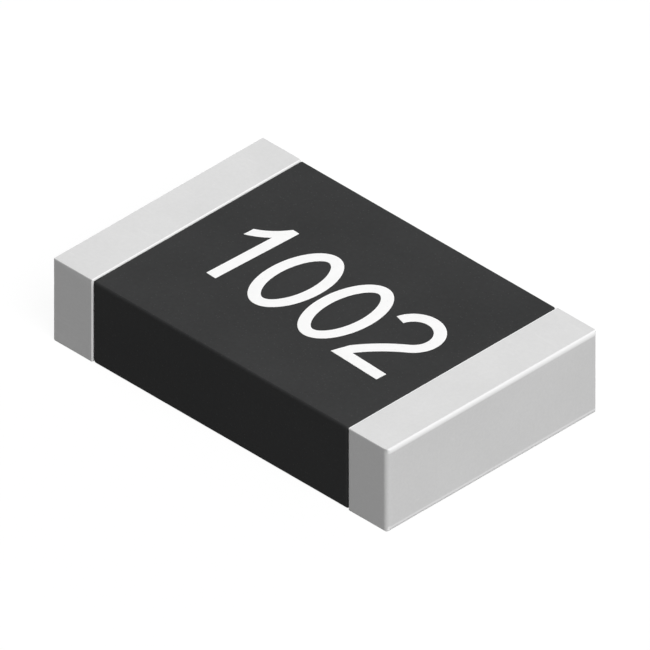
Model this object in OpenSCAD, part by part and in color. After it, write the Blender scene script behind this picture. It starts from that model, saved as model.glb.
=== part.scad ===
// Thick-film chip resistor for surface mounting.
// A ceramic slab carries a resistive film between two printed electrodes. A glass coat and a dark
// resin overcoat seal the film, and each end is wrapped in three metal layers, one over another.
// Sizes are in millimetres. X runs along the chip, Y across it, and Z up from the circuit board.

/* [Chip] */
// Length over the plated ends
chip_length = 3.2; // [2.8:0.05:6.4]
// Width over the plated ends
chip_width = 2; // [1.6:0.01:3.2]
// Height over the plated ends
chip_height = 0.68; // [0.4:0.01:1.2]
// Length of each wrapped end along the chip
end_length = 0.375; // [0.2:0.005:0.46]

/* [Wrapped ends] */
// Tin plating, the outer layer
tin_thickness = 0.016; // [0.006:0.001:0.02]
// Nickel barrier under the tin
nickel_thickness = 0.008; // [0.003:0.001:0.01]
// Metal wrap under the nickel, which joins the upper and the back electrodes
wrap_thickness = 0.018; // [0.012:0.001:0.04]
// Rounding of the level edges across each end
end_edge_radius = 0.022; // [0.005:0.001:0.06]
// Rounding of the level edges along the chip
side_edge_radius = 0.006; // [0.003:0.001:0.05]
// Rounding of the upright corners
corner_radius = 0.022; // [0.005:0.001:0.08]

/* [Ceramic slab] */
// Depth of the score from which the slab was snapped, along its lower edges
score_depth = 0.06; // [0.02:0.005:0.12]
// Half width of that score
score_width = 0.02; // [0.01:0.002:0.04]

/* [Electrodes] */
// Printed thickness of all four electrodes
electrode_thickness = 0.01; // [0.006:0.001:0.016]
// Length of an upper electrode along the slab
electrode_length = 0.62; // [0.5:0.01:0.8]
// Length of a back electrode along the slab
back_electrode_length = 0.28; // [0.12:0.01:0.4]
// Bare ceramic beside the electrodes
electrode_margin = 0.14; // [0.06:0.01:0.24]
// Run of the sloping rim that a printed layer has at its ends
print_slope = 0.02; // [0.005:0.005:0.04]

/* [Resistive film] */
// Printed thickness of the film
film_thickness = 0.01; // [0.005:0.001:0.014]
// Lap of the film over each upper electrode
film_lap = 0.16; // [0.08:0.01:0.2]
// Bare ceramic beside the film
film_margin = 0.32; // [0.24:0.01:0.5]
// Glass above the film
glass_thickness = 0.008; // [0.004:0.001:0.014]
// Glass past the film's rim
glass_border = 0.06; // [0.04:0.005:0.08]

/* [Laser trim] */
// Width of the cut
trim_kerf = 0.04; // [0.02:0.005:0.08]
// Place of the cut along the chip, from its middle
trim_place = -0.3; // [-0.5:0.01:0.2]
// Reach of the cut across the film
trim_reach = 0.6; // [0.2:0.01:0.8]
// Run of the cut along the film, past the corner
trim_run = 0.5; // [0.1:0.01:0.8]
// Start of the cut outside the film's rim
trim_lead = 0.02; // [0.01:0.005:0.03]

/* [Overcoat] */
// Step down from the plated ends to the overcoat
coat_step = 0.002; // [0.001:0.001:0.02]
// Rounding of the overcoat's long edges
coat_radius = 0.034; // [0.005:0.001:0.06]

/* [Hidden] */
$fn = 48;
cut_over = 0.1;
least_radius = 0.002;

// The plated layers, and all that lies between the outer faces and the slab with its electrodes
plating = tin_thickness + nickel_thickness;
shell = plating + wrap_thickness;

// Inner edge of a wrapped end
end_inner = chip_length / 2 - end_length;

// The slab, with the electrodes on its two faces
slab_end = chip_length / 2 - shell;
slab_side = chip_width / 2 - shell;
slab_bottom = shell + electrode_thickness;
slab_top = chip_height - shell - electrode_thickness;

// The upper electrodes: where they stop, and how high they stand
electrode_inner = slab_end - electrode_length;
electrode_top = slab_top + electrode_thickness;
electrode_side = slab_side - electrode_margin;

// The film and the glass over it
film_end = electrode_inner + print_slope + film_lap;
film_side = slab_side - film_margin;
glass_end = film_end + glass_border;
glass_side = film_side + glass_border;

// Rounding of a layer that lies at a depth under a rounded edge
function rounding(radius, depth) = max(radius - depth, least_radius);

function reversed(list) = [for (i = [len(list) - 1:-1:0]) list[i]];

// Section along the chip of a surface that lies over the slab and climbs onto both electrodes
function draped(end, lift) = [
    [-end, electrode_top + lift],
    [-electrode_inner - print_slope, electrode_top + lift],
    [-electrode_inner, slab_top + lift],
    [electrode_inner, slab_top + lift],
    [electrode_inner + print_slope, electrode_top + lift],
    [end, electrode_top + lift],
];

// Section of a slab end to end with scored lower edges, about its middle
function scored(reach) = [
    [-reach + score_width, slab_bottom],
    [reach - score_width, slab_bottom],
    [reach, slab_bottom + score_depth],
    [reach, slab_top],
    [-reach, slab_top],
    [-reach, slab_bottom + score_depth],
];

module rounded_rectangle(width, height, radius) {
    square([width, height - 2 * radius], center = true);
    square([width - 2 * radius, height], center = true);
    for (x = [-1, 1], y = [-1, 1])
        translate([x * (width / 2 - radius), y * (height / 2 - radius)])
            circle(radius);
}

// A section drawn in X and Z, run across the chip to the same reach on both sides
module across(reach) {
    rotate([90, 0, 0])
        linear_extrude(2 * reach, center = true)
            children();
}

// A section drawn in Y and Z, run along the chip to the same reach at both ends
module along(reach) {
    rotate([90, 0, 90])
        linear_extrude(2 * reach, center = true)
            children();
}

module left_end() {
    rotate([0, 0, 180])
        children();
}

// The whole outline, drawn in from the plated faces by the same depth all round
module outline(depth) {
    length = chip_length - 2 * depth;
    width = chip_width - 2 * depth;
    height = chip_height - 2 * depth;
    translate([0, 0, chip_height / 2])
        intersection() {
            linear_extrude(height, center = true)
                rounded_rectangle(length, width, rounding(corner_radius, depth));
            across(width / 2)
                rounded_rectangle(length, height, rounding(end_edge_radius, depth));
            along(length / 2)
                rounded_rectangle(width, height, rounding(side_edge_radius, depth));
        }
}

// The right-hand end of that outline, up to the overcoat
module end_block(depth) {
    intersection() {
        outline(depth);
        translate([end_inner, -chip_width, -chip_height])
            cube([end_length + cut_over, 2 * chip_width, 3 * chip_height]);
    }
}

module substrate() {
    color([0.95, 0.94, 0.91])
        intersection() {
            across(slab_side)
                polygon(scored(slab_end));
            along(slab_end)
                polygon(scored(slab_side));
        }
}

module top_electrode() {
    color([0.8, 0.8, 0.78])
        across(electrode_side)
            polygon([
                [electrode_inner, slab_top],
                [slab_end, slab_top],
                [slab_end, electrode_top],
                [electrode_inner + print_slope, electrode_top],
            ]);
}

module back_electrode() {
    outer = slab_end - score_width;
    inner = outer - back_electrode_length;
    color([0.8, 0.8, 0.78])
        across(electrode_side)
            polygon([
                [inner, slab_bottom],
                [inner + print_slope, slab_bottom - electrode_thickness],
                [outer, slab_bottom - electrode_thickness],
                [outer, slab_bottom],
            ]);
}

// The laser's path: in across the film from its near side, then along it
module trim_cut() {
    start = -film_side - trim_lead;
    translate([trim_place, 0, slab_top])
        linear_extrude(chip_height) {
            translate([-trim_kerf / 2, start])
                square([trim_kerf, trim_lead + trim_reach]);
            translate([-trim_kerf / 2, -film_side + trim_reach - trim_kerf])
                square([trim_kerf + trim_run, trim_kerf]);
        }
}

module film_print() {
    across(film_side)
        polygon(concat(
            draped(film_end, 0),
            reversed(draped(film_end - print_slope, film_thickness))
        ));
}

module glass_print() {
    across(glass_side)
        polygon(concat(
            draped(glass_end, 0),
            reversed(draped(glass_end - print_slope, film_thickness + glass_thickness))
        ));
}

module resistive_film() {
    color([0.22, 0.19, 0.17])
        difference() {
            film_print();
            trim_cut();
        }
}

module glass_coat() {
    color([0.4, 0.47, 0.43])
        difference() {
            glass_print();
            film_print();
            trim_cut();
        }
}

// The resin takes up all the room between its own outer faces and the pieces that it seals,
// the laser cut included
module overcoat() {
    width = chip_width - 2 * coat_step;
    height = chip_height - 2 * coat_step;
    color([0.24, 0.24, 0.25])
        difference() {
            translate([0, 0, chip_height / 2])
                along(end_inner)
                    rounded_rectangle(width, height, coat_radius);
            substrate();
            top_electrode();
            left_end() top_electrode();
            back_electrode();
            left_end() back_electrode();
            resistive_film();
            glass_coat();
        }
}

module edge_terminal() {
    color([0.63, 0.61, 0.58])
        difference() {
            end_block(plating);
            substrate();
            top_electrode();
            back_electrode();
        }
}

module nickel_barrier() {
    color([0.72, 0.7, 0.66])
        difference() {
            end_block(tin_thickness);
            end_block(plating);
        }
}

module tin_plating() {
    color([0.87, 0.87, 0.87])
        difference() {
            end_block(0);
            end_block(tin_thickness);
        }
}

substrate();
left_end() top_electrode();  // top_electrode_left
top_electrode();  // top_electrode_right
left_end() back_electrode();  // back_electrode_left
back_electrode();  // back_electrode_right
resistive_film();
glass_coat();
overcoat();
left_end() edge_terminal();  // edge_terminal_left
edge_terminal();  // edge_terminal_right
left_end() nickel_barrier();  // nickel_barrier_left
nickel_barrier();  // nickel_barrier_right
left_end() tin_plating();  // tin_plating_left
tin_plating();  // tin_plating_right
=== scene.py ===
"""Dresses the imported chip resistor: plated ends, resin coat, printed code, inner layers and studio.

The pieces are modelled at one unit to the millimetre, because Blender's own tolerances are coarse for
a part this small, and are brought down to metres when they are done.
"""

import logging
import math
from collections.abc import Callable, Iterator, Sequence
from contextlib import contextmanager
from dataclasses import dataclass
from enum import Enum, auto
from functools import cached_property
from typing import Any

import bmesh
import bpy
from mathutils import Matrix, Vector


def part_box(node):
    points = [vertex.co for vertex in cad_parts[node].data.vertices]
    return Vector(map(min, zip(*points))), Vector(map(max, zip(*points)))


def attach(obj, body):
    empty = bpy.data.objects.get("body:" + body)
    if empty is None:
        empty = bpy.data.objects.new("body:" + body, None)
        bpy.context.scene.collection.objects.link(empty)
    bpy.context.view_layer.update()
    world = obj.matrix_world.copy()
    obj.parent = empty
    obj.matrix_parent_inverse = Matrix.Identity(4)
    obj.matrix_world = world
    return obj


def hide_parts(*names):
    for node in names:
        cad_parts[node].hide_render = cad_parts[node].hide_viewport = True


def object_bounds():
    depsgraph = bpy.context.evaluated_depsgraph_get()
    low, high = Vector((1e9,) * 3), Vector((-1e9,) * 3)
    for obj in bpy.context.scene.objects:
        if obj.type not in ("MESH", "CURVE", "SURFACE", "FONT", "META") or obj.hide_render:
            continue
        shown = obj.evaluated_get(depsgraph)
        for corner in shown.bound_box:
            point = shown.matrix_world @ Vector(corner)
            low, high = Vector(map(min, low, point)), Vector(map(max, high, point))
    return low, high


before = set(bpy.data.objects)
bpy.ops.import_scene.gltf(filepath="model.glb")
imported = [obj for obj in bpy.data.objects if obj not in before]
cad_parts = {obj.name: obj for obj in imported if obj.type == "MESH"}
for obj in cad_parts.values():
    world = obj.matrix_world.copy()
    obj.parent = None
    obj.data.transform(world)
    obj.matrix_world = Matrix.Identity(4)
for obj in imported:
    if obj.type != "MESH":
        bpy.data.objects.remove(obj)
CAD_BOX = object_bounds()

LOG = logging.getLogger("chip")
MILLIMETRE = 0.001
BODY = "root"

# Distance in millimetres under which two places are one
TOUCH = 1e-4

# Least share of a face's normal along an axis for the face to look that way
FACING = 0.9

# The photo's frame: its side in pixels, and what a pixel measures on the chip
PHOTO_SIDE = 650
PIXELS_PER_MM = 148.05
PHOTO_PIXEL = MILLIMETRE / PIXELS_PER_MM

# Mean of a noise, and the middle of a blend
MIDDLE = 0.5

# A Mix node's sockets for colours, by number, because those for numbers have the same names
MIX_FACTOR, MIX_FIRST, MIX_SECOND, MIX_RESULT = 0, 6, 7, 2

Colour = tuple[float, float, float, float]
Point = tuple[float, float] | Vector


def grey(level: float, warmth: float = 0.0) -> Colour:
    """Returns a grey of that linear level, a little warmer or cooler by warmth."""
    return (level * (1 + warmth), level, level * (1 - warmth), 1.0)


# Modelling


class Pick(Enum):
    """What the edit tools act on."""

    CORNERS = "VERT"
    EDGES = "EDGE"
    FACES = "FACE"


class Bench:
    """One mesh under Blender's edit tools, at one unit to the millimetre."""

    def __init__(self, obj: bpy.types.Object, name: str) -> None:
        """Takes an object onto the bench under a new name."""
        self.obj = obj
        obj.name = obj.data.name = name

    @classmethod
    def block(cls, name: str, low: Vector, high: Vector) -> "Bench":
        """Starts a piece from a block.

        Args:
            name: The piece's name.
            low: The block's lowest corner.
            high: Its highest corner.

        Returns:
            The bench with the block on it.
        """
        clear_selection()
        bpy.ops.mesh.primitive_cube_add(size=1, location=(low + high) / 2)
        bpy.context.object.scale = high - low
        settle()
        return cls(bpy.context.object, name)

    def copy(self, name: str) -> "Bench":
        """Copies the piece, with a mesh of its own.

        Args:
            name: The copy's name.

        Returns:
            The bench with the copy on it.
        """
        self.hold()
        bpy.ops.object.duplicate(linked=False)
        return Bench(bpy.context.object, name)

    @property
    def mesh(self) -> bpy.types.Mesh:
        """The mesh as it stands."""
        return self.obj.data

    def hold(self) -> None:
        """Makes this the only selected object, and the active one."""
        clear_selection()
        self.obj.select_set(True)
        bpy.context.view_layer.objects.active = self.obj

    @contextmanager
    def editing(self) -> Iterator[None]:
        """Puts the mesh in edit mode for the length of a with block."""
        self.hold()
        bpy.ops.object.mode_set(mode="EDIT")
        yield
        bpy.ops.object.mode_set(mode="OBJECT")

    def pick(self, kind: Pick, wanted: Callable[[Any], bool]) -> None:
        """Selects what a test accepts, in edit mode, and nothing else.

        Args:
            kind: Corners, edges or faces.
            wanted: The test of one of them.
        """
        bpy.ops.mesh.select_mode(type=kind.value)
        bpy.ops.mesh.select_all(action="DESELECT")
        shape = bmesh.from_edit_mesh(self.mesh)
        parts = {Pick.CORNERS: shape.verts, Pick.EDGES: shape.edges, Pick.FACES: shape.faces}[kind]
        for part in filter(wanted, parts):
            part.select_set(True)
        shape.select_flush_mode()
        bmesh.update_edit_mesh(self.mesh)

    def modify(self, kind: str, **settings: Any) -> None:
        """Adds a modifier and applies it.

        Args:
            kind: The modifier's type.
            **settings: Its settings by name.
        """
        self.hold()
        modifier = self.obj.modifiers.new(kind.title(), kind)
        for setting, value in settings.items():
            setattr(modifier, setting, value)
        bpy.ops.object.modifier_apply(modifier=modifier.name)

    def soften(self, radius_of: Callable[[Sequence[Vector]], float], segments: int, drop: float) -> None:
        """Rounds the edges, each by a radius of its own.

        Args:
            radius_of: Gives an edge's radius from its two ends, and 0 for an edge that stays sharp.
            segments: Facets across each rounded edge.
            drop: How many times as far as across a rounding reaches up or down.
        """
        corners = self.mesh.vertices
        radii = [radius_of([corners[i].co for i in edge.vertices]) for edge in self.mesh.edges]
        widest = max(radii)
        weights = self.mesh.attributes.new("bevel_weight_edge", "FLOAT", "EDGE")
        weights.data.foreach_set("value", [radius / widest for radius in radii])
        self.stretch(Vector((1, 1, 1 / drop)))
        self.modify("BEVEL", width=widest, segments=segments, limit_method="WEIGHT",
                    offset_type="OFFSET", use_clamp_overlap=False)
        self.stretch(Vector((1, 1, drop)))
        self.mesh.attributes.remove(self.mesh.attributes["bevel_weight_edge"])

    def stretch(self, factors: Vector) -> None:
        """Stretches or squeezes the piece from the origin.

        Args:
            factors: The factor along each axis.
        """
        with self.editing():
            bpy.ops.mesh.select_all(action="SELECT")
            bpy.ops.transform.resize(value=factors, center_override=(0, 0, 0))

    def cut_grid(self, low: Vector, high: Vector, pitch: float) -> None:
        """Cuts the outward faces into a grid, which gives the surface points to move.

        Args:
            low: Lowest corner of the piece.
            high: Its highest corner.
            pitch: Distance between cuts, about.
        """
        middle = (low + high) / 2
        with self.editing():
            for axis in range(3):
                normal = Vector(float(axis == other) for other in range(3))
                count = max(2, round((high[axis] - low[axis]) / pitch))
                for step in range(1, count):
                    self.pick(Pick.FACES, lambda face: outward(face, middle))
                    bpy.ops.mesh.bisect(plane_co=low.lerp(high, step / count), plane_no=normal)

    def swell(self, name: str, depth: float, size: float) -> None:
        """Lets the surface sink softly here and there, as a plated or coated one does.

        Args:
            name: Name of the pattern.
            depth: Deepest sink.
            size: Size of a hollow.
        """
        pattern = bpy.data.textures.new(name, "CLOUDS")
        pattern.noise_scale = size
        pattern.noise_depth = 1
        self.modify("DISPLACE", texture=pattern, texture_coords="LOCAL", strength=depth, mid_level=1.0)

    def finish(self, sharp_over: float) -> bpy.types.Object:
        """Shades the mesh smooth and brings it down to metres.

        Args:
            sharp_over: Angle in degrees past which an edge stays sharp.

        Returns:
            The finished object.
        """
        self.hold()
        bpy.ops.object.shade_smooth_by_angle(angle=math.radians(sharp_over))
        self.modify("WEIGHTED_NORMAL", keep_sharp=True)
        # The place goes in first, so that it is brought down too
        settle()
        self.obj.scale = (MILLIMETRE,) * 3
        settle()
        return self.obj


def clear_selection() -> None:
    """Leaves nothing selected."""
    bpy.ops.object.select_all(action="DESELECT")


def settle() -> None:
    """Works the place, turn and scale of what is selected into its mesh."""
    bpy.ops.object.transform_apply(location=True, rotation=True, scale=True)


def outward(face: bmesh.types.BMFace, middle: Vector) -> bool:
    """Tells whether a face looks away from the middle of its piece."""
    return face.normal.dot(face.calc_center_median() - middle) > 0


def lies_on(edge: Sequence[Vector], axis: int, *levels: float) -> bool:
    """Tells whether both ends of an edge lie at one of some levels of an axis."""
    return any(all(abs(end[axis] - level) < TOUCH for end in edge) for level in levels)


def node_box(node: str) -> tuple[Vector, Vector]:
    """Returns the lowest and highest corner of a solid, in millimetres."""
    low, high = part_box(node)
    return low / MILLIMETRE, high / MILLIMETRE


# Shading


class Shade:
    """A number that varies over a surface: a shader socket that takes Python's arithmetic."""

    def __init__(self, recipe: "Recipe", socket: bpy.types.NodeSocket) -> None:
        """Wraps an output socket of a recipe's node."""
        self.recipe = recipe
        self.socket = socket

    def work_out(self, operation: str, *values: "Shade | float") -> "Shade":
        """Adds a Math node with those inputs in order, and returns its result."""
        node = self.recipe.node("ShaderNodeMath", {"operation": operation}, dict(enumerate(values)))
        return Shade(self.recipe, node.outputs[0])

    def __add__(self, other: "Shade | float") -> "Shade":
        """Adds."""
        return self.work_out("ADD", self, other)

    def __radd__(self, other: float) -> "Shade":
        """Adds to a plain number."""
        return self.work_out("ADD", other, self)

    def __sub__(self, other: "Shade | float") -> "Shade":
        """Subtracts."""
        return self.work_out("SUBTRACT", self, other)

    def __rsub__(self, other: float) -> "Shade":
        """Subtracts from a plain number."""
        return self.work_out("SUBTRACT", other, self)

    def __mul__(self, other: "Shade | float") -> "Shade":
        """Multiplies."""
        return self.work_out("MULTIPLY", self, other)

    def __rmul__(self, other: float) -> "Shade":
        """Multiplies a plain number."""
        return self.work_out("MULTIPLY", other, self)

    def __abs__(self) -> "Shade":
        """Drops the sign."""
        return self.work_out("ABSOLUTE", self)

    def larger(self, other: "Shade | float") -> "Shade":
        """Takes the larger of two numbers."""
        return self.work_out("MAXIMUM", self, other)

    def rise(self, low: float, high: float) -> "Shade":
        """Rises softly from 0 at low to 1 at high, or falls where low is the higher of the two."""
        node = self.recipe.node("ShaderNodeMapRange", {"interpolation_type": "SMOOTHSTEP"},
                                {"Value": self, "From Min": low, "From Max": high})
        return Shade(self.recipe, node.outputs[0])


class Recipe:
    """The nodes of one material or world, laid out from a clean tree.

    Attributes:
        finer_share: Strength of each finer layer of a noise beside the layer before it.
        speck_core: Share of a speck's radius that is solid.
    """

    finer_share: float = 0.55
    speck_core: float = 0.4

    def __init__(self, owner: bpy.types.Material | bpy.types.World) -> None:
        """Takes over the nodes of a material or world, and clears them.

        Args:
            owner: The material or world.
        """
        owner.use_nodes = True
        self.tree = owner.node_tree
        self.tree.nodes.clear()

    def node(self, kind: str, settings: dict[str, Any] | None = None,
             sockets: dict[int | str, Any] | None = None) -> bpy.types.Node:
        """Adds a node.

        Args:
            kind: The node's type.
            settings: Its settings, which are set first.
            sockets: Values or links of its inputs, by name or number.

        Returns:
            The node.
        """
        made = self.tree.nodes.new(kind)
        for setting, value in (settings or {}).items():
            setattr(made, setting, value)
        for key, value in (sockets or {}).items():
            source = value.socket if isinstance(value, Shade) else value
            if isinstance(source, bpy.types.NodeSocket):
                self.tree.links.new(source, made.inputs[key])
            else:
                made.inputs[key].default_value = source
        return made

    @cached_property
    def place(self) -> bpy.types.NodeSocket:
        """The point on the piece, in millimetres."""
        own = self.node("ShaderNodeTexCoord").outputs["Object"]
        return self.mapped(own, (1 / MILLIMETRE,) * 3)

    @cached_property
    def axes(self) -> tuple[Shade, Shade, Shade]:
        """The point's three coordinates, in millimetres."""
        split = self.node("ShaderNodeSeparateXYZ", sockets={0: self.place})
        return tuple(Shade(self, output) for output in split.outputs)

    def mapped(self, vector: bpy.types.NodeSocket, scale: Sequence[float],
               turn: float = 0.0) -> bpy.types.NodeSocket:
        """Scales a vector along each axis, and turns it about the vertical by some degrees."""
        node = self.node("ShaderNodeMapping", sockets={
            "Vector": vector, "Scale": scale, "Rotation": (0, 0, math.radians(turn))})
        return node.outputs[0]

    def noise(self, per_mm: float, detail: float = 2.0, stretch: Sequence[float] | None = None,
              turn: float = 0.0) -> Shade:
        """Lays soft noise over the piece.

        Args:
            per_mm: Features in a millimetre.
            detail: Layers of finer noise.
            stretch: Factor along each axis, for streaks.
            turn: Turn of the streaks about the vertical, in degrees.

        Returns:
            The noise, about 0.5 on average.
        """
        vector = self.place if stretch is None else self.mapped(self.place, stretch, turn)
        node = self.node("ShaderNodeTexNoise", sockets={
            "Vector": vector, "Scale": per_mm, "Detail": detail, "Roughness": self.finer_share})
        return Shade(self, node.outputs[0])

    def specks(self, per_mm: float, size: float) -> Shade:
        """Scatters round specks, 1 inside and 0 outside, with a radius of size times their distance."""
        node = self.node("ShaderNodeTexVoronoi", sockets={"Vector": self.place, "Scale": per_mm})
        return Shade(self, node.outputs[0]).rise(size, size * self.speck_core)

    def blend(self, factor: Shade, first: Any, second: Any) -> bpy.types.NodeSocket:
        """Mixes two colours or links: the first alone at a factor of 0, and the second at 1."""
        node = self.node("ShaderNodeMix", {"data_type": "RGBA", "clamp_factor": True},
                         {MIX_FACTOR: factor, MIX_FIRST: first, MIX_SECOND: second})
        return node.outputs[MIX_RESULT]

    def relief(self, height: Shade, depth: float) -> bpy.types.NodeSocket:
        """Turns a height into a bumped normal, where 1 measures that depth in millimetres."""
        node = self.node("ShaderNodeBump", sockets={
            "Height": height, "Distance": depth * MILLIMETRE, "Strength": 1.0})
        return node.outputs[0]

    def surface(self, **sockets: Any) -> None:
        """Ends the recipe in a Principled shader.

        Args:
            **sockets: Values or links of the shader's inputs, with underscores for spaces.
        """
        named = {name.replace("_", " "): value for name, value in sockets.items()}
        shader = self.node("ShaderNodeBsdfPrincipled", sockets=named)
        self.node("ShaderNodeOutputMaterial", sockets={"Surface": shader.outputs[0]})


@dataclass(frozen=True)
class Finish:
    """What every finish has: a name, and a material that is made once.

    A field that ends in tone says how far a pattern moves the colour between its two limits, one in
    roughness how far it dulls the surface, and one in height how far it stands out beside the grain.
    """

    name: str

    def mix(self, recipe: Recipe) -> None:
        """Fills in the recipe. Each finish does this in its own way."""
        raise NotImplementedError

    def material(self) -> bpy.types.Material:
        """Makes the material at its first use, and finds it after that.

        Returns:
            The finish as a material.
        """
        found = bpy.data.materials.get(self.name)
        if found is None:
            found = bpy.data.materials.new(self.name)
            self.mix(Recipe(found))
        return found

    def dress(self, obj: bpy.types.Object) -> None:
        """Puts the finish on every material slot of an object.

        Args:
            obj: The object.
        """
        if not obj.material_slots:
            obj.data.materials.append(None)
        for slot in obj.material_slots:
            slot.material = self.material()


@dataclass(frozen=True)
class TinPlate(Finish):
    """Matt plated tin: fine crystal grain, broad clouds, and pale edges, part wear and part painted
    highlight.

    The pale edge paint, part handling wear and part painted highlight, fades in over a zone along an
    edge.
    A field that ends in full gives the share of the zone, from the edge, in which it is complete.
    """

    name: str = "tin_plate"
    dull: Colour = grey(0.67, 0.001)
    bright: Colour = grey(0.77, 0.001)
    # Pale edge colour: partly handling wear, partly a painted highlight on the end edges and the lips
    burnish_and_highlight: Colour = grey(0.95)
    metal: float = 0.08
    gloss: float = 0.27
    smoothest: float = 0.4
    grain_per_mm: float = 42.0
    grain_tone: float = 0.7
    grain_roughness: float = 0.12
    grain_depth: float = 0.0004
    clouds_per_mm: float = 1.7
    cloud_tone: float = 0.9
    cloud_roughness: float = 0.1
    scuffs_per_mm: float = 3.0
    scuff_stretch: tuple[float, float, float] = (1.0, 9.0, 9.0)
    scuff_turn: float = 24.0
    scuff_fade: tuple[float, float] = (0.62, 0.72)
    scuff_tone: float = 0.12
    scuff_polish: float = 0.06
    scuff_height: float = 0.4
    wear_in: float = 0.016
    wear_in_full: float = 0.4
    wear_down: float = 0.048
    wear_down_full: float = 0.6
    lip_wear: float = 0.0075
    lip_wear_full: float = 0.5

    def mix(self, recipe: Recipe) -> None:
        """Lays grain, clouds, faint scuffs, and bright edges that are part wear, part painted highlight.

        Args:
            recipe: The recipe to fill in.
        """
        grain = recipe.noise(self.grain_per_mm, detail=3)
        clouds = recipe.noise(self.clouds_per_mm)
        scuffs = recipe.noise(self.scuffs_per_mm, stretch=self.scuff_stretch,
                              turn=self.scuff_turn).rise(*self.scuff_fade)
        # Painted highlight on the end edges and the lips, which also stands for wear on the end edges
        wear_and_highlight = self.wear(recipe)
        tone = (MIDDLE + self.cloud_tone * (clouds - MIDDLE) + self.grain_tone * (grain - MIDDLE)
                + self.scuff_tone * scuffs)
        plate = recipe.blend(tone, self.dull, self.bright)
        recipe.surface(
            Base_Color=recipe.blend(wear_and_highlight, plate, self.burnish_and_highlight),
            Metallic=self.metal,
            Specular_IOR_Level=self.gloss,
            Roughness=(self.smoothest + self.grain_roughness * grain + self.cloud_roughness * clouds
                       - self.scuff_polish * scuffs),
            Normal=recipe.relief(grain + self.scuff_height * scuffs, self.grain_depth),
        )

    def wear(self, recipe: Recipe) -> Shade:
        """Masks the pale edges: wear and painted highlight on the end edges, painted highlight on the
        lips.

        Args:
            recipe: The recipe that the mask is for.

        Returns:
            1 on the level edges across the ends and on the lips, falling to 0 on the faces.
        """
        along, _, up = recipe.axes
        low, high = node_box("tin_plating_right")
        middle, half_height = (low.z + high.z) / 2, (high.z - low.z) / 2
        outer = abs(along).rise(high.x - self.wear_in, high.x - self.wear_in_full * self.wear_in)
        level = abs(up - middle).rise(half_height - self.wear_down,
                                      half_height - self.wear_down_full * self.wear_down)
        # The lips are painted pale as a highlight
        lips = abs(along).rise(low.x + self.lip_wear, low.x + self.lip_wear_full * self.lip_wear)
        return (outer * level).larger(lips)


@dataclass(frozen=True)
class BlackResin(Finish):
    """Filled black resin, screened on and cured: satin, with fine filler and a slow unevenness."""

    name: str = "black_resin"
    deep: Colour = grey(0.0308, -0.01)
    pale: Colour = grey(0.0503, -0.01)
    filler: Colour = grey(0.085)
    gloss: float = 0.03
    smoothest: float = 0.46
    grain_per_mm: float = 30.0
    grain_tone: float = 0.6
    grain_roughness: float = 0.16
    grain_depth: float = 0.0005
    clouds_per_mm: float = 1.3
    cloud_tone: float = 0.8
    cloud_roughness: float = 0.08
    filler_per_mm: float = 34.0
    filler_size: float = 0.2
    filler_cover: float = 0.35
    filler_height: float = 0.3
    pits_per_mm: float = 7.0
    pit_size: float = 0.1
    pit_height: float = -1.2

    def mix(self, recipe: Recipe) -> None:
        """Lays the cured skin, its filler specks and a few shallow pits.

        Args:
            recipe: The recipe to fill in.
        """
        grain = recipe.noise(self.grain_per_mm, detail=3)
        clouds = recipe.noise(self.clouds_per_mm)
        filler = recipe.specks(self.filler_per_mm, self.filler_size)
        pits = recipe.specks(self.pits_per_mm, self.pit_size)
        tone = MIDDLE + self.cloud_tone * (clouds - MIDDLE) + self.grain_tone * (grain - MIDDLE)
        skin = recipe.blend(tone, self.deep, self.pale)
        height = grain + self.filler_height * filler + self.pit_height * pits
        recipe.surface(
            Base_Color=recipe.blend(self.filler_cover * filler, skin, self.filler),
            Specular_IOR_Level=self.gloss,
            Roughness=self.smoothest + self.grain_roughness * grain + self.cloud_roughness * clouds,
            Normal=recipe.relief(height, self.grain_depth),
        )


@dataclass(frozen=True)
class WhiteInk(Finish):
    """White printing ink: matt, a little uneven in cover, with pinholes."""

    name: str = "white_ink"
    thin: Colour = grey(0.93, 0.002)
    full: Colour = grey(0.995, 0.001)
    pinhole: Colour = grey(0.6)
    gloss: float = 0.3
    smoothest: float = 0.56
    cover_per_mm: float = 9.0
    cover_tone: float = 1.2
    cover_height: float = 0.6
    tooth_per_mm: float = 60.0
    tooth_roughness: float = 0.2
    tooth_depth: float = 0.0005
    pinholes_per_mm: float = 24.0
    pinhole_size: float = 0.1
    pinhole_tone: float = 0.5

    def mix(self, recipe: Recipe) -> None:
        """Lays an uneven cover and its pinholes.

        Args:
            recipe: The recipe to fill in.
        """
        cover = recipe.noise(self.cover_per_mm, detail=3)
        tooth = recipe.noise(self.tooth_per_mm)
        pinholes = recipe.specks(self.pinholes_per_mm, self.pinhole_size)
        ink = recipe.blend(MIDDLE + self.cover_tone * (cover - MIDDLE), self.thin, self.full)
        recipe.surface(
            Base_Color=recipe.blend(self.pinhole_tone * pinholes, ink, self.pinhole),
            Specular_IOR_Level=self.gloss,
            Roughness=self.smoothest + self.tooth_roughness * tooth,
            Normal=recipe.relief(tooth + self.cover_height * cover - pinholes, self.tooth_depth),
        )


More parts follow.
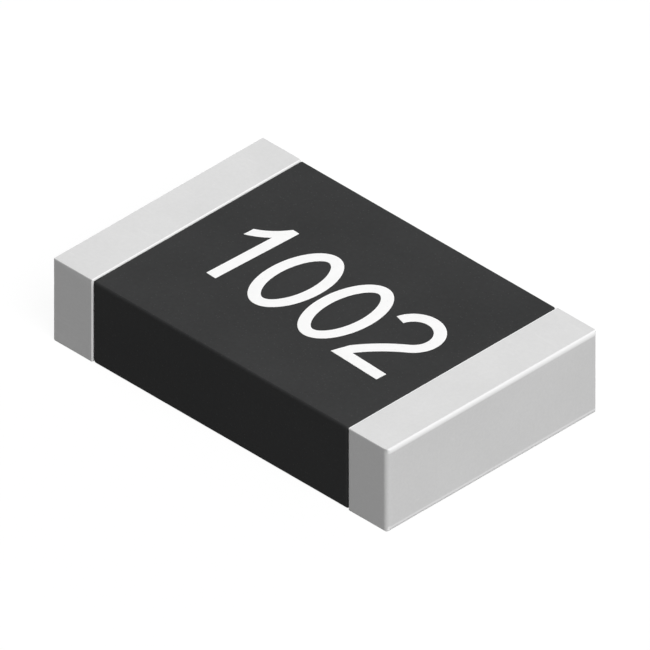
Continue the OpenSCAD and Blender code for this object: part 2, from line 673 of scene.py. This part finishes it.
@dataclass(frozen=True)
class FiredLayer(Finish):
    """A layer inside the chip: fired ceramic, print or plating, which only a cut chip shows."""

    deep: Colour
    pale: Colour
    roughness: float
    grain_per_mm: float
    grain_depth: float
    metal: float = 0.0
    grain_tone: float = 0.8
    grain_roughness: float = 0.16
    clouds_per_mm: float = 2.0
    cloud_tone: float = 0.8
    cloud_roughness: float = 0.1
    grains_per_speck: float = 3.0
    speck_size: float = 0.16
    speck_tone: float = -0.25

    def mix(self, recipe: Recipe) -> None:
        """Lays a grain of its own size, with slow clouds over it.

        Args:
            recipe: The recipe to fill in.
        """
        grain = recipe.noise(self.grain_per_mm, detail=4)
        clouds = recipe.noise(self.clouds_per_mm)
        specks = recipe.specks(self.grain_per_mm / self.grains_per_speck, self.speck_size)
        tone = (MIDDLE + self.grain_tone * (grain - MIDDLE) + self.cloud_tone * (clouds - MIDDLE)
                + self.speck_tone * specks)
        recipe.surface(
            Base_Color=recipe.blend(tone, self.deep, self.pale),
            Metallic=self.metal,
            Roughness=(self.roughness + self.grain_roughness * (grain - MIDDLE)
                       + self.cloud_roughness * (clouds - MIDDLE)),
            Normal=recipe.relief(grain, self.grain_depth),
        )


class Layer(Enum):
    """The finishes of the inner layers, by the start of a node's name."""

    SUBSTRATE = FiredLayer(
        "fired_alumina", deep=(0.8, 0.79, 0.74, 1), pale=(0.93, 0.925, 0.89, 1),
        roughness=0.62, grain_per_mm=55.0, grain_depth=0.0012)
    TOP_ELECTRODE = FiredLayer(
        "printed_silver", deep=(0.62, 0.61, 0.58, 1), pale=(0.8, 0.79, 0.76, 1),
        metal=0.9, roughness=0.42, grain_per_mm=38.0, grain_depth=0.0009)
    BACK_ELECTRODE = TOP_ELECTRODE
    RESISTIVE_FILM = FiredLayer(
        "resistive_glaze", deep=(0.02, 0.018, 0.016, 1), pale=(0.06, 0.054, 0.048, 1),
        roughness=0.48, grain_per_mm=46.0, grain_depth=0.0008)
    GLASS_COAT = FiredLayer(
        "sealing_glass", deep=(0.1, 0.15, 0.12, 1), pale=(0.18, 0.24, 0.2, 1),
        roughness=0.16, grain_per_mm=22.0, grain_depth=0.0003)
    EDGE_TERMINAL = FiredLayer(
        "edge_metal", deep=(0.3, 0.285, 0.26, 1), pale=(0.46, 0.44, 0.4, 1),
        metal=0.8, roughness=0.5, grain_per_mm=48.0, grain_depth=0.0012)
    NICKEL_BARRIER = FiredLayer(
        "nickel_plate", deep=(0.53, 0.5, 0.44, 1), pale=(0.67, 0.64, 0.56, 1),
        metal=1.0, roughness=0.34, grain_per_mm=60.0, grain_depth=0.0004)


# Pieces


@dataclass
class PlatedEnds:
    """The two wrapped ends: tin shells over all five outer faces, with a rolled lip at the coat.

    A level edge is rounded by its radius along the level face, and by edge_drop times that down the
    upright one. One upright corner of an end is worn softer than the other.
    """

    thickness: float = 0.016
    rim_lap: float = 0.005
    corner_radius: float = 0.022
    worn_corner_radius: float = 0.04
    end_edge_radius: float = 0.015
    side_edge_radius: float = 0.0045
    level_lip_radius: float = 0.0062
    side_lip_radius: float = 0.0148
    edge_drop: float = 2.4
    edge_facets: int = 8
    pitch: float = 0.06
    hollow_depth: float = 0.0016
    hollow_size: float = 0.3
    sharp_over: float = 40.0
    finish: Finish = TinPlate()

    def build(self) -> list[bpy.types.Object]:
        """Models the right-hand end, and copies it to the left.

        Returns:
            The right-hand piece and the left-hand one.
        """
        low, high = node_box("tin_plating_right")
        low.x -= self.rim_lap
        right = Bench.block("plated_end_right", low, high)
        self.hollow_out(right, high.x - low.x)
        right.soften(lambda edge: self.radius(edge, low, high), self.edge_facets, self.edge_drop)
        right.cut_grid(low, high, self.pitch)
        right.swell("plating_hollows", self.hollow_depth, self.hollow_size)
        left = right.copy("plated_end_left")
        left.obj.rotation_euler.z = math.pi
        made = [bench.finish(self.sharp_over) for bench in (right, left)]
        for obj, node in zip(made, ("tin_plating_right", "tin_plating_left")):
            self.finish.dress(obj)
            mount(obj, node)
        return made

    def hollow_out(self, bench: Bench, length: float) -> None:
        """Opens the inner face of the block and leaves a wall all round.

        Args:
            bench: The bench with the block.
            length: Length of the block along the chip.
        """
        with bench.editing():
            bench.pick(Pick.FACES, lambda face: face.normal.x < -FACING)
            bpy.ops.mesh.inset(thickness=self.thickness)
            bpy.ops.mesh.extrude_region_move(
                TRANSFORM_OT_translate={"value": (length - self.thickness, 0, 0)})
            bpy.ops.mesh.select_all(action="SELECT")
            bpy.ops.mesh.normals_make_consistent(inside=False)

    def radius(self, edge: Sequence[Vector], low: Vector, high: Vector) -> float:
        """Gives the rounding of an edge of the right-hand end.

        Args:
            edge: The edge's two ends.
            low: Lowest corner of the block.
            high: Its highest corner.

        Returns:
            The radius, or 0 for an edge inside the shell.
        """
        beside, level = lies_on(edge, 1, low.y, high.y), lies_on(edge, 2, low.z, high.z)
        if beside and level:
            return self.side_edge_radius
        if lies_on(edge, 0, high.x) and beside:
            return self.worn_corner_radius if lies_on(edge, 1, low.y) else self.corner_radius
        if lies_on(edge, 0, high.x) and level:
            return self.end_edge_radius
        if lies_on(edge, 0, low.x) and (beside or level):
            return self.side_lip_radius if beside else self.level_lip_radius
        return 0.0


@dataclass
class ResinCoat:
    """The black coat: a sleeve round the chip between the two ends, rounded in the way they are."""

    edge_radius: float = 0.013
    level_rim_radius: float = 0.017
    side_rim_radius: float = 0.026
    edge_drop: float = 2.0
    edge_facets: int = 8
    rim_room: float = 0.005
    first_inset: float = 0.004
    glass_clearance: float = 0.006
    pitch: float = 0.06
    hollow_depth: float = 0.001
    hollow_size: float = 0.34
    sharp_over: float = 32.0
    finish: Finish = BlackResin()

    def build(self) -> bpy.types.Object:
        """Models the sleeve.

        Returns:
            The finished piece.
        """
        low, high = node_box("overcoat")
        low.x += self.rim_room
        high.x -= self.rim_room
        bench = Bench.block("resin_coat", low, high)
        self.open_through(bench, low, high)
        bench.soften(lambda edge: self.radius(edge, low, high), self.edge_facets, self.edge_drop)
        bench.cut_grid(low, high, self.pitch)
        bench.swell("coat_hollows", self.hollow_depth, self.hollow_size)
        coat = bench.finish(self.sharp_over)
        self.finish.dress(coat)
        mount(coat, "overcoat")
        return coat

    def open_through(self, bench: Bench, low: Vector, high: Vector) -> None:
        """Opens the block from end to end, as wide as the slab, and higher where the glass lies.

        Args:
            bench: The bench with the block.
            low: Lowest corner of the block.
            high: Its highest corner.
        """
        slab_low, slab_high = node_box("substrate")
        mouth_top = node_box("top_electrode_right")[1].z
        glass_high = node_box("glass_coat")[1]
        width = (slab_high.y - slab_low.y) / (high.y - low.y - 2 * self.first_inset)
        height = (mouth_top - slab_low.z) / (high.z - low.z - 2 * self.first_inset)
        middle = (low + high) / 2
        with bench.editing():
            bench.pick(Pick.FACES, lambda face: abs(face.normal.x) > FACING)
            bpy.ops.mesh.inset(thickness=self.first_inset)
            bpy.ops.transform.resize(value=(1, width, height), center_override=middle)
            bpy.ops.transform.translate(value=(0, 0, (mouth_top + slab_low.z) / 2 - middle.z))
            bpy.ops.mesh.bridge_edge_loops()
            for side in (-1, 1):
                bench.pick(Pick.FACES, lambda face: self.over_slab(face, mouth_top))
                bpy.ops.mesh.bisect(plane_co=(side * (glass_high.x + self.glass_clearance), 0, 0),
                                    plane_no=(1, 0, 0))
            bench.pick(Pick.FACES, lambda face: self.over_slab(face, mouth_top)
                       and abs(face.calc_center_median().x) < TOUCH)
            bpy.ops.transform.translate(value=(0, 0, glass_high.z - mouth_top))
            bpy.ops.mesh.select_all(action="SELECT")
            bpy.ops.mesh.normals_make_consistent(inside=False)

    @staticmethod
    def over_slab(face: bmesh.types.BMFace, level: float) -> bool:
        """Tells whether a face lies flat at the level of the opening's ceiling."""
        return all(abs(corner.co.z - level) < TOUCH for corner in face.verts)

    def radius(self, edge: Sequence[Vector], low: Vector, high: Vector) -> float:
        """Gives the rounding of an edge of the sleeve.

        Args:
            edge: The edge's two ends.
            low: Lowest corner of the block.
            high: Its highest corner.

        Returns:
            The radius, or 0 for an edge inside.
        """
        beside, level = lies_on(edge, 1, low.y, high.y), lies_on(edge, 2, low.z, high.z)
        if beside and level:
            return self.edge_radius
        if beside:
            return self.side_rim_radius
        return self.level_rim_radius if level else 0.0


class Stroke:
    """A flat band of ink, drawn on from its first edge as a broad pen draws."""

    def __init__(self, name: str, left: Point, right: Point) -> None:
        """Puts down the pen.

        Args:
            name: The stroke's name.
            left: Where the left of the nib stands.
            right: Where its right stands.
        """
        clear_selection()
        bpy.ops.mesh.primitive_plane_add(size=1)
        self.bench = Bench(bpy.context.object, name)
        self.bench.hold()
        bpy.ops.object.mode_set(mode="EDIT")
        # The lower edge of the plane is left, and becomes the nib
        self.bench.pick(Pick.CORNERS, lambda corner: corner.co.y > 0)
        bpy.ops.mesh.delete(type="VERT")
        self.left, self.right = Vector((*left, 0)), Vector((*right, 0))
        self.slide(Vector((-0.5, -0.5, 0)), self.left)
        self.slide(Vector((0.5, -0.5, 0)), self.right)

    def slide(self, place: Vector, target: Vector) -> None:
        """Moves the corner at one place to another."""
        self.bench.pick(Pick.CORNERS, lambda corner: (corner.co - place).length < TOUCH)
        bpy.ops.transform.translate(value=target - place)

    def pick_nib(self) -> None:
        """Selects the edge that the pen stands on."""
        ends = (self.left, self.right)
        self.bench.pick(Pick.EDGES, lambda edge: all(
            min((corner.co - end).length for end in ends) < TOUCH for corner in edge.verts))

    def draw(self, left: Point, right: Point) -> "Stroke":
        """Draws straight on.

        Args:
            left: Where the left of the nib comes to.
            right: Where its right comes to.

        Returns:
            The stroke itself.
        """
        left_end, right_end = Vector((*left, 0)), Vector((*right, 0))
        step = left_end - self.left
        self.pick_nib()
        bpy.ops.mesh.extrude_region_move(TRANSFORM_OT_translate={"value": step})
        self.slide(self.right + step, right_end)
        self.left, self.right = left_end, right_end
        return self

    def sweep(self, radius: float, clockwise: float, steps: int) -> "Stroke":
        """Draws on round an arc, with no corner where it starts.

        Args:
            radius: Radius of the arc, at the middle of the nib.
            clockwise: How far round, in degrees, or less than 0 for a turn the other way.
            steps: Facets of the arc.

        Returns:
            The stroke itself.
        """
        inward = (self.right - self.left).normalized() * math.copysign(radius, clockwise)
        pivot = (self.left + self.right) / 2 + inward
        angle = math.radians(clockwise)
        self.pick_nib()
        bpy.ops.mesh.spin(steps=steps, angle=angle, center=pivot, axis=(0, 0, 1))
        turn = Matrix.Rotation(-angle, 3, "Z")
        self.left, self.right = (pivot + turn @ (end - pivot) for end in (self.left, self.right))
        return self

    def bend(self, left: tuple[Point, Point], right: tuple[Point, Point], steps: int) -> "Stroke":
        """Draws on along a curve.

        Args:
            left: The point that the left of the nib first makes for, and where it ends.
            right: The same for its right.
            steps: Facets of the curve.

        Returns:
            The stroke itself.
        """
        paths = [[start.to_2d(), *map(Vector, ends)]
                 for start, ends in ((self.left, left), (self.right, right))]
        for step in range(1, steps + 1):
            share = step / steps
            self.draw(*(a.lerp(b, share).lerp(b.lerp(c, share), share) for a, b, c in paths))
        return self

    def lift(self) -> Bench:
        """Lifts the pen and returns the bench with the band on it."""
        bpy.ops.object.mode_set(mode="OBJECT")
        return self.bench


class Figure(Enum):
    """The figures that the code is made of."""

    ONE = auto()
    NOUGHT = auto()
    TWO = auto()


@dataclass
class PrintedCode:
    """A plain resistance code in white numerals, printed a little askew on the coat.

    Attributes:
        figures: Each figure, with the place of its middle along the code.
        over_round: How far a round figure reaches past a straight one, at top and bottom.
        flag_root: Drop from the top of a one to where the flag's underside leaves the stem.
        flag_under: Two points that the flag's underside bends by, left of the stem and down from the top.
        flag_over: Two that its upper side bends by, counted from the stem's right side.
        flag_tip: Drop from the top to the upper and the lower corner of the flag's tip.
    """

    figures: tuple[tuple[Figure, float], ...] = (
        (Figure.ONE, -0.8), (Figure.NOUGHT, -0.29), (Figure.NOUGHT, 0.208), (Figure.TWO, 0.704))
    pen: float = 0.09
    height: float = 0.77
    width: float = 0.456
    one_width: float = 0.25
    over_round: float = 0.007
    flag_root: float = 0.165
    flag_under: tuple[Point, Point] = ((0.012, 0.178), (0.07, 0.236))
    flag_over: tuple[Point, Point] = ((0.058, 0.0), (0.134, 0.128))
    flag_tip: tuple[float, float] = (0.19, 0.28)
    flag_steps: int = 6
    bowl_start: float = 167.0
    bowl_turn: float = 219.0
    bowl_steps: int = 34
    back_radius: float = 1.12
    back_turn: float = 20.1
    back_steps: int = 8
    foot_edge: float = 0.3
    ring_sides: int = 72
    place: Point = (0.0386, -0.0371)
    askew: float = 2.4
    sink: float = 0.0066
    thickness: float = 0.0085
    edge_radius: float = 0.002
    edge_facets: int = 3
    round_over: float = 40.0
    sharp_over: float = 35.0
    finish: Finish = WhiteInk()

    def build(self) -> bpy.types.Object:
        """Draws the numerals, gives the ink its body and sets it on the coat.

        Returns:
            The finished piece.
        """
        bench = self.line_up()
        self.face_up(bench)
        bench.modify("SOLIDIFY", thickness=self.thickness, offset=1.0)
        bench.modify("BEVEL", width=self.edge_radius, segments=self.edge_facets, limit_method="ANGLE",
                     angle_limit=math.radians(self.round_over), use_clamp_overlap=False)
        coat_top = node_box("overcoat")[1].z
        bench.obj.location = (*self.place, coat_top - self.sink)
        bench.obj.rotation_euler.z = -math.radians(self.askew)
        code = bench.finish(self.sharp_over)
        self.finish.dress(code)
        mount(code)
        return code

    def line_up(self) -> Bench:
        """Draws each figure once, copies it where it comes again, and joins them in line.

        Returns:
            The bench with the flat code on it.
        """
        pens = {Figure.ONE: self.one, Figure.NOUGHT: self.nought, Figure.TWO: self.two}
        drawn, line = {}, []
        for figure, middle in self.figures:
            if figure in drawn:
                bench = drawn[figure].copy(figure.name)
            else:
                bench = drawn[figure] = pens[figure]()
            bench.obj.location = (middle, -self.height / 2, 0)
            line.append(bench.obj)
        clear_selection()
        for obj in line:
            obj.select_set(True)
        bpy.context.view_layer.objects.active = line[0]
        settle()
        bpy.ops.object.join()
        return Bench(bpy.context.object, "printed_code")

    @staticmethod
    def face_up(bench: Bench) -> None:
        """Merges the bands' seams and turns their faces up.

        Args:
            bench: The bench with the flat code.
        """
        with bench.editing():
            bpy.ops.mesh.select_all(action="SELECT")
            bpy.ops.mesh.remove_doubles(threshold=TOUCH)
            bench.pick(Pick.FACES, lambda face: face.normal.z < 0)
            bpy.ops.mesh.flip_normals()

    def one(self) -> Bench:
        """Draws a one about its middle: an upright stem with a sloping flag.

        Returns:
            The bench with the figure on it.
        """
        half, top = self.one_width / 2, self.height
        stem = half - self.pen
        under, over = ([(side - left, top - down) for left, down in points]
                       for side, points in ((stem, self.flag_under), (half, self.flag_over)))
        tip_over, tip_under = ((-half, top - down) for down in self.flag_tip)
        return (Stroke("one", (stem, 0), (half, 0))
                .draw((stem, top - self.flag_root), (half, top))
                .draw(under[0], over[0])
                .bend((under[1], tip_under), (over[1], tip_over), self.flag_steps)
                .lift())

    def nought(self) -> Bench:
        """Draws a nought about its middle: a tall ring of even width.

        Returns:
            The bench with the figure on it.
        """
        clear_selection()
        bpy.ops.mesh.primitive_circle_add(vertices=self.ring_sides, radius=0.5, fill_type="NGON",
                                          location=(0, self.height / 2, 0))
        ring = Bench(bpy.context.object, "nought")
        ring.obj.scale = (self.width, self.height + 2 * self.over_round, 1)
        settle()
        with ring.editing():
            bpy.ops.mesh.select_all(action="SELECT")
            bpy.ops.mesh.inset(thickness=self.pen)
            bpy.ops.mesh.delete(type="FACE")
        return ring

    def two(self) -> Bench:
        """Draws a two about its middle: a round bowl, a sloping back and a level foot.

        Returns:
            The bench with the figure on it.
        """
        half, pen = self.width / 2, self.pen
        middle = Vector((0, self.height + self.over_round - half))
        start = Matrix.Rotation(math.radians(self.bowl_start), 2) @ Vector((1, 0))
        return (Stroke("two", middle + start * half, middle + start * (half - pen))
                .sweep(half - pen / 2, self.bowl_turn, self.bowl_steps)
                .sweep(self.back_radius, -self.back_turn, self.back_steps)
                .draw((half - self.foot_edge, pen), (-half, 0))
                .draw((half, pen), (half, 0))
                .lift())


@dataclass
class InnerLayers:
    """What the coat and the plating hide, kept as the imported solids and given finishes."""

    replaced: tuple[str, ...] = ("tin_plating", "overcoat")

    def build(self) -> list[bpy.types.Object]:
        """Dresses the inner solids.

        Returns:
            The dressed objects.
        """
        kept = []
        for name, obj in sorted(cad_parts.items()):
            if name.startswith(self.replaced):
                continue
            layer = name.removesuffix("_left").removesuffix("_right").upper()
            Layer[layer].value.dress(obj)
            kept.append(obj)
        return kept


def mount(obj: bpy.types.Object, node: str | None = None) -> None:
    """Fixes a piece to the chip.

    Args:
        obj: The piece.
        node: The solid that the piece stands for, if there is one.
    """
    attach(obj, BODY)
    if node:
        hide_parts(node)


# Studio


@dataclass(frozen=True)
class Lamp:
    """A square softbox that looks at the chip.

    Attributes:
        towards: Direction from the chip to the lamp.
        distance: How far away it stands, in metres.
        size: Its side, in metres.
        level: Light that it puts on a face square to it, where 1 renders a colour as written.
    """

    name: str
    towards: tuple[float, float, float]
    distance: float
    size: float
    level: float

    def place(self) -> None:
        """Hangs the lamp at the power that gives its level, and keeps its glare off the chip."""
        data = bpy.data.lights.new(self.name, "AREA")
        data.shape = "SQUARE"
        data.size = self.size
        data.energy = self.level * math.pi ** 2 * self.distance ** 2
        lamp = bpy.data.objects.new(self.name, data)
        direction = Vector(self.towards).normalized()
        lamp.location = direction * self.distance
        lamp.rotation_euler = direction.to_track_quat("Z", "Y").to_euler()
        lamp.visible_glossy = False
        bpy.context.scene.collection.objects.link(lamp)


@dataclass
class Studio:
    """A pale floor, soft lamps and a camera that looks down on a corner of the chip.

    Attributes:
        floor_lift: White that the floor shows of its own, beside what the lamps put on it.
        sky_on_chip: Light of the sky on the chip, where 1 is the white that the camera sees.
    """

    floor_side: float = 0.8
    floor_colour: Colour = grey(0.08)
    floor_lift: float = 0.93
    sky_on_chip: float = 0.04
    lamps: tuple[Lamp, ...] = (
        Lamp("key_softbox", towards=(0.7, -0.214, 0.85), distance=0.4, size=0.22, level=1.157),
        Lamp("left_fill", towards=(-0.98, 0.1, 0.18), distance=0.4, size=0.12, level=0.45),
        Lamp("rear_fill", towards=(-0.1, 0.98, 0.18), distance=0.4, size=0.12, level=0.45),
    )
    azimuth: float = 45.0
    elevation: float = 35.264
    view_width: float = PHOTO_SIDE * PHOTO_PIXEL
    aim_right: float = 0.25 * PHOTO_PIXEL
    aim_up: float = 9.77 * PHOTO_PIXEL
    camera_distance: float = 0.05
    near_clip: float = 0.0001
    far_clip: float = 1.0

    def build(self) -> None:
        """Sets up the whole studio."""
        bpy.context.scene.view_settings.view_transform = "Standard"
        self.lay_floor()
        self.light_sky()
        for lamp in self.lamps:
            lamp.place()
        self.aim_camera()

    @staticmethod
    def seen(recipe: Recipe) -> Shade:
        """Tells what the camera sees from what only lights the chip.

        Args:
            recipe: The recipe that asks.

        Returns:
            1 for what the camera sees, straight on, mirrored or through glass.
        """
        path = recipe.node("ShaderNodeLightPath")
        kinds = ("Is Camera Ray", "Is Glossy Ray", "Is Transmission Ray")
        first, second, third = (Shade(recipe, path.outputs[kind]) for kind in kinds)
        return first.larger(second).larger(third)

    def lay_floor(self) -> None:
        """Lays a floor that shows white and keeps the chip's shadow."""
        clear_selection()
        bpy.ops.mesh.primitive_plane_add(size=self.floor_side)
        floor = bpy.context.object
        floor.name = "floor"
        paint = bpy.data.materials.new("floor_paint")
        recipe = Recipe(paint)
        matt = recipe.node("ShaderNodeBsdfDiffuse", sockets={"Color": self.floor_colour})
        lift = recipe.node("ShaderNodeEmission", sockets={
            "Color": grey(1.0), "Strength": self.seen(recipe) * self.floor_lift})
        both = recipe.node("ShaderNodeAddShader", sockets={0: matt.outputs[0], 1: lift.outputs[0]})
        recipe.node("ShaderNodeOutputMaterial", sockets={"Surface": both.outputs[0]})
        floor.data.materials.append(paint)

    def light_sky(self) -> None:
        """Surrounds the chip with white that lights it only faintly."""
        world = bpy.data.worlds.new("studio_sky")
        bpy.context.scene.world = world
        recipe = Recipe(world)
        strength = self.sky_on_chip + (1 - self.sky_on_chip) * self.seen(recipe)
        sky = recipe.node("ShaderNodeBackground", sockets={"Color": grey(1.0), "Strength": strength})
        recipe.node("ShaderNodeOutputWorld", sockets={"Surface": sky.outputs[0]})

    def aim_camera(self) -> None:
        """Stands the camera at the corner, with no perspective."""
        turn, tilt = math.radians(self.azimuth), math.radians(self.elevation)
        back = Vector((math.sin(turn) * math.cos(tilt), -math.cos(turn) * math.cos(tilt), math.sin(tilt)))
        across = Vector((math.cos(turn), math.sin(turn), 0))
        low, high = CAD_BOX
        aim = (low + high) / 2 + across * self.aim_right + back.cross(across) * self.aim_up
        data = bpy.data.cameras.new("camera")
        data.type = "ORTHO"
        data.ortho_scale = self.view_width
        data.clip_start, data.clip_end = self.near_clip, self.far_clip
        camera = bpy.data.objects.new("camera", data)
        camera.location = aim + back * self.camera_distance
        camera.rotation_euler = (-back).to_track_quat("-Z", "Y").to_euler()
        bpy.context.scene.collection.objects.link(camera)
        bpy.context.scene.camera = camera


def report(obj: bpy.types.Object) -> None:
    """Logs a piece with its number of faces."""
    LOG.info("%s: %d faces", obj.name, len(obj.data.polygons))


def main() -> None:
    """Builds the pieces in order, then the studio."""
    logging.basicConfig(level=logging.INFO, format="%(name)s: %(message)s")
    for obj in PlatedEnds().build():
        report(obj)
    report(ResinCoat().build())
    report(PrintedCode().build())
    for obj in InnerLayers().build():
        report(obj)
    Studio().build()


if __name__ == "__main__":
    main()
